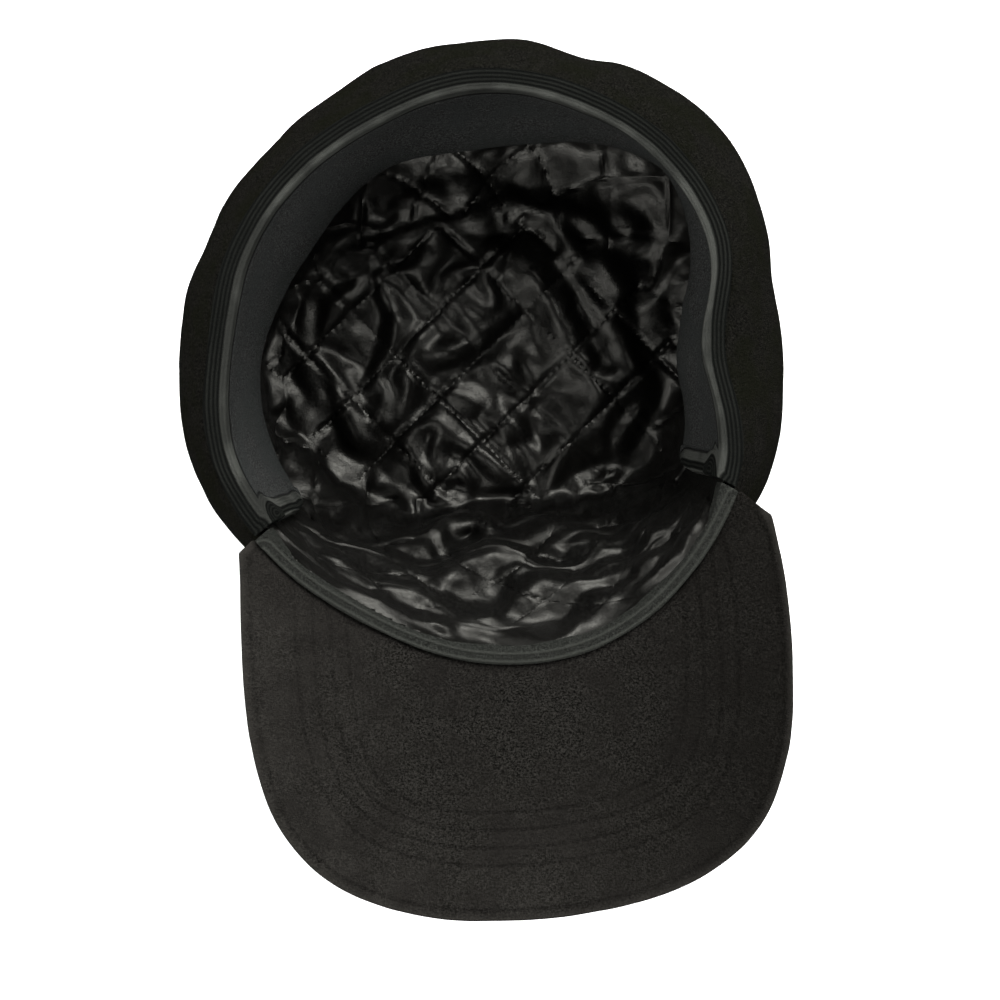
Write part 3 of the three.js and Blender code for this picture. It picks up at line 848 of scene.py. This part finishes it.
def smoothRound(table, keep, count):
    # takes rows measured evenly round the cap, and gives more of them on a smooth curve
    waves = np.fft.rfft(table, axis=0)
    waves[keep:] = 0
    return np.fft.irfft(waves, n=count, axis=0) * (count / len(table))


def liningThickness(share):
    # the quilt is thickest on the bottom and thins towards the rim
    return lining["floorWall"] + (lining["rimWall"] - lining["floorWall"]) * rise(share, 0.45, 1)


def measureLining(bearings=72, steps=64):
    # the satin's bare form in upright sections, from the middle out to the rim
    tree = treeOf("lining_top", "lining_side")
    heart = Vector((0, 0, lining["heart"]))
    sections = []
    for bearing in np.arange(bearings) * 2 * math.pi / bearings:
        outward = Vector((math.cos(bearing), math.sin(bearing), 0))
        section = []
        for lean in np.radians(np.arange(0, 130, 1.0)):
            found = []
            for turn in (lean, lean + math.radians(0.4)):
                way = outward * math.sin(turn) - Vector((0, 0, math.cos(turn)))
                hit = tree.ray_cast(heart + way * 0.3, -way)[0]
                if hit and (hit - heart).dot(way) > 0:
                    found.append(((hit - heart).length, math.hypot(hit.x, hit.y), hit.z))
            if not found:
                break
            section.append(max(found)[1:])
        section = np.array(section)
        along = np.gradient(section, axis=0)
        along /= np.linalg.norm(along, axis=1)[:, None]
        wall = liningThickness(np.linspace(0, 1, len(section)))
        section = section + np.stack([-along[:, 1], along[:, 0]], 1) * wall[:, None]
        section[0, 0] = 0
        length = np.concatenate([[0], np.cumsum(np.linalg.norm(np.diff(section, axis=0), axis=1))])
        even = np.linspace(0, length[-1], steps + 1)
        sections.append([np.interp(even, length, section[:, n]) for n in (0, 1)] + [even])
    return smoothRound(np.array(sections), 16, 720)


liningTable = measureLining()
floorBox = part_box("lining_top")


def onLining(share, bearing):
    # the point, and its length from the middle, at this share of the way out to the rim
    rows, columns = liningTable.shape[0], liningTable.shape[2] - 1
    row = (bearing % (2 * math.pi)) / (2 * math.pi) * rows
    column = np.clip(share, 0, 1) * columns
    r0 = np.floor(row).astype(int) % rows
    c0 = np.minimum(np.floor(column).astype(int), columns - 1)
    fr, fc = row - np.floor(row), column - c0
    made = []
    for kind in range(3):
        grid = liningTable[:, kind]
        near = grid[r0, c0] * (1 - fc) + grid[r0, c0 + 1] * fc
        far = grid[(r0 + 1) % rows, c0] * (1 - fc) + grid[(r0 + 1) % rows, c0 + 1] * fc
        made.append(near * (1 - fr) + far * fr)
    reach, height, length = made
    return np.stack([reach * np.cos(bearing), reach * np.sin(bearing), height], 1), length


def quiltGap(points, length, bearing):
    # how far each point lies from the nearest stitched line of the diamonds
    pitch = lining["pitch"]
    floorReach = np.hypot(*(points[:, :2] / np.array([floorBox[1].x, floorBox[1].y])).T)
    onFloor = floorReach < 1
    around = bearing * lining["around"]
    across = np.where(onFloor, points[:, 0], around)
    along = np.where(onFloor, points[:, 1], length)
    gaps = []
    for way, phase in zip((across - along, across + along), lining["phase"]):
        share = (way / math.sqrt(2) - phase) / pitch
        gaps.append(np.abs(share - np.round(share)) * pitch)
    return np.minimum(*gaps)


def foldField(points, lines, power=4):
    # the highest of the folds at each point, with a soft change from one to the next
    plan = points[:, :2] / mm
    total = np.zeros(len(points))
    crest = lining["crest"] / mm
    for height, width, line in lines:
        gap = np.hypot(gapTo(plan, roundLine(line)), crest) - crest
        total += (height * np.clip(1 - gap / (2.4 * width), 0, 1) ** 2) ** power
    return total ** (1 / power) * mm


def terraceField(points, lines, front=3.2):
    # bags with a steep inner edge and an even fall behind it; their edges run anticlockwise
    plan = points[:, :2] / mm
    total = np.zeros(len(points))
    for height, length, line in lines:
        gaps, feet, ways = nearestOn(plan, roundLine(line))
        away = plan - feet
        outside = ways[:, 0] * away[:, 1] - ways[:, 1] * away[:, 0] < 0
        behind = 1 - rise(gaps, 0, length)
        before = 1 - rise(gaps, 0, front)
        total += (height * np.where(outside, behind, before * before * (3 - 2 * before))) ** 4
    return total ** 0.25 * mm


def smoothPoints(piece, chosen, repeat):
    choose(piece, chosen)
    bpy.ops.mesh.vertices_smooth(factor=0.5, repeat=repeat)
    bpy.ops.object.mode_set(mode="OBJECT")


def liningDisc():
    # a grid trimmed to a disc, with each point's share of the way out to the rim and its bearing
    count = int(lining["span"] / lining["cell"])
    bpy.ops.object.select_all(action="DESELECT")
    bpy.ops.mesh.primitive_grid_add(x_subdivisions=count, y_subdivisions=count, size=2)
    piece = bpy.context.active_object
    piece.name = "lining_quilted_satin"
    plan = readPoints(piece)
    choose(piece, np.hypot(plan[:, 0], plan[:, 1]) > 1 + 1.2 / count)
    bpy.ops.mesh.delete(type="VERT")
    bpy.ops.object.mode_set(mode="OBJECT")
    plan = readPoints(piece)
    return piece, np.minimum(np.hypot(plan[:, 0], plan[:, 1]), 1), bearingOf(plan)


def foldsOn(bare, normals, share, turn):
    # how high folds and bags stand on the bare form, the way that they rise, and the bags alone
    steep = 1 - rise(normals[:, 2], *lining["steep"])
    front = 1 - rise(bare[:, 1], *lining["frontWall"])
    onWall = 1 + 0.9 * steep * (1 - 0.75 * front)
    bags = terraceField(bare, terraces) * (0.3 + 0.7 * steep) * (1 - rise(share, *lining["bagsFade"]))
    fold = lining["ridge"] * foldField(bare, ridges) * onWall - foldField(bare, valleys) + bags
    # the valleys stop short of the back
    depth = np.maximum(liningThickness(share) - lining["leastWall"], 0.1 * mm)
    fold = np.where(fold < 0, depth * np.tanh(fold / depth), fold)
    # below the flap the folds only rise as far as its foot
    room = np.maximum(lining["flapFoot"] - 0.4 * mm - bare[:, 2], 0.2 * mm)
    fold = np.where((turn < lining["flapTo"]) & (fold > 0), room * np.tanh(fold / room), fold)
    way = normals * (1 - steep)[:, None] + np.array([0, 0, 1]) * steep[:, None]
    return fold, way / np.linalg.norm(way, axis=1)[:, None], bags


def overTape(bare, normals, share, bearing, turn):
    # along the front the satin bags over the lower edge of the tape and is tucked in behind it
    upward = onLining(np.ones(len(share)), bearing)[0] - onLining(np.full(len(share), 0.95), bearing)[0]
    upward /= np.linalg.norm(upward, axis=1)[:, None]
    # from one end of the flap round the front to its other end
    start, end = lining["flapTo"], lining["flapFrom"] + 360
    atFront = rise(turn, start, start + 4) * (1 - rise(turn, end - 4, end))
    uneven = 1 + 0.8 * cloudy(bare, 13 * mm, 21)
    lift = lining["tapeLift"] * rise(share, *lining["lifts"]) ** 1.5
    starts, full, dives, ends = lining["bulges"]
    bulge = lining["tapeBulge"] * uneven * rise(share, starts, full) * (1 - rise(share, dives, ends))
    return upward * (lift * atFront)[:, None] + normals * (bulge * atFront)[:, None]


def makeLining():
    piece, share, bearing = liningDisc()
    bare, length = onLining(share, bearing)
    writePoints(piece, bare)
    normals = readNormals(piece)
    near = quiltGap(bare, length, bearing)
    turn = (np.degrees(bearing) - lining["flapFrom"]) % 360 + lining["flapFrom"]
    foot = lining["flapFoot"]
    underFlap = rise(bare[:, 2], foot - 2.5 * mm, foot) * (turn < lining["flapTo"])
    free = (1 - underFlap) * (1 - rise(share, *lining["foldsEnd"]))
    fold, way, bags = foldsOn(bare, normals, share, turn)
    raised = way * (fold * free)[:, None] + overTape(bare, normals, share, bearing, turn)
    writePoints(piece, bare + raised)
    smoothPoints(piece, (bags > 1 * mm) & (share < 0.95), 6)
    writeValue(piece, "quilt", near)
    writeValue(piece, "loose", free * rise(liningThickness(share), 0.7 * mm, 3.1 * mm))
    sewn = (near < lining["seamWidth"]) | (underFlap > 0.8) | (share > lining["sewn"])
    swell(piece, readPoints(piece), sewn)
    smoothPoints(piece, ~sewn, 2)
    subdivide(piece, 1)
    crease(piece)
    closeBack(piece)
    return piece


def crease(piece):
    # creases all over the loose satin, calmer on the front wall, and a groove along its stitched lines
    points, normals = readPoints(piece), readNormals(piece)
    gap, loose = np.empty(len(points)), np.empty(len(points))
    piece.data.attributes["quilt"].data.foreach_get("value", gap)
    piece.data.attributes["loose"].data.foreach_get("value", loose)
    wide, fine = lining["wide"], lining["fine"]
    move = wide["height"] * np.hypot(cloudy(points, wide["size"], wide["seed"]), 0.1)
    move -= fine["height"] * np.abs(cloudy(points, fine["size"], fine["seed"]))
    move *= rise(gap, 0, 1.5 * mm) * (0.2 + 0.8 * rise(points[:, 1], *lining["calmWall"]))
    groove = -lining["groove"] * (1 - rise(gap, 0, 1.3 * mm))
    writePoints(piece, points + normals * ((move + groove) * loose)[:, None])


def swell(piece, points, sewn):
    # the satin is cut larger than the quilt, held on its stitched lines and pushed out by the wadding
    group = piece.vertex_groups.new(name="sewn")
    group.add([int(n) for n in np.flatnonzero(sewn)], 1.0, "REPLACE")
    pick(piece)
    cloth = piece.modifiers.new("cloth", "CLOTH")
    for name, value in satinCloth.items():
        setattr(cloth.settings, name, value)
    cloth.settings.effector_weights.gravity = 0
    cloth.collision_settings.use_collision = False
    for step in range(1, lining["frames"] + 1):
        bpy.context.scene.frame_set(step)
    bpy.ops.object.modifier_apply(modifier="cloth")
    moved = readPoints(piece) - points
    far = np.linalg.norm(moved, axis=1)
    print("satin moved", round(float(far.max() / mm), 1), "mm at most")
    writePoints(piece, points + moved * np.minimum(1, lining["cap"] / np.maximum(far, 1e-9))[:, None])


def closeBack(piece):
    # the rim's loop is drawn down over the hidden side in rings, and closed in the middle
    pick(piece)
    bpy.ops.object.mode_set(mode="EDIT")
    bpy.ops.mesh.select_mode(type="EDGE")
    bpy.ops.mesh.select_all(action="DESELECT")
    bpy.ops.mesh.select_non_manifold()
    heart = np.array([0, 0, lining["heart"]])
    for ring in range(lining["backRings"]):
        bpy.ops.mesh.extrude_region_move()
        bpy.ops.object.mode_set(mode="OBJECT")
        chosen = np.empty(len(piece.data.vertices), dtype=bool)
        piece.data.vertices.foreach_get("select", chosen)
        points = readPoints(piece)
        rim = points[chosen]
        bearing = bearingOf(rim)
        share = 0.99 * (1 - ring / lining["backRings"])
        behind = onLining(np.full(len(rim), share), bearing)[0]
        outward = behind - heart
        outward /= np.linalg.norm(outward, axis=1)[:, None]
        behind += outward * (liningThickness(share) - lining["back"])
        points[chosen] = behind
        writePoints(piece, points)
        bpy.ops.object.mode_set(mode="EDIT")
    bpy.ops.mesh.merge(type="CENTER")
    bpy.ops.mesh.select_all(action="SELECT")
    bpy.ops.mesh.normals_make_consistent(inside=False)
    bpy.ops.object.mode_set(mode="OBJECT")


liningPiece = makeLining()
print("lining made:", len(liningPiece.data.polygons), "faces")
finishPiece(liningPiece, satin, ["lining_side", "lining_top"])
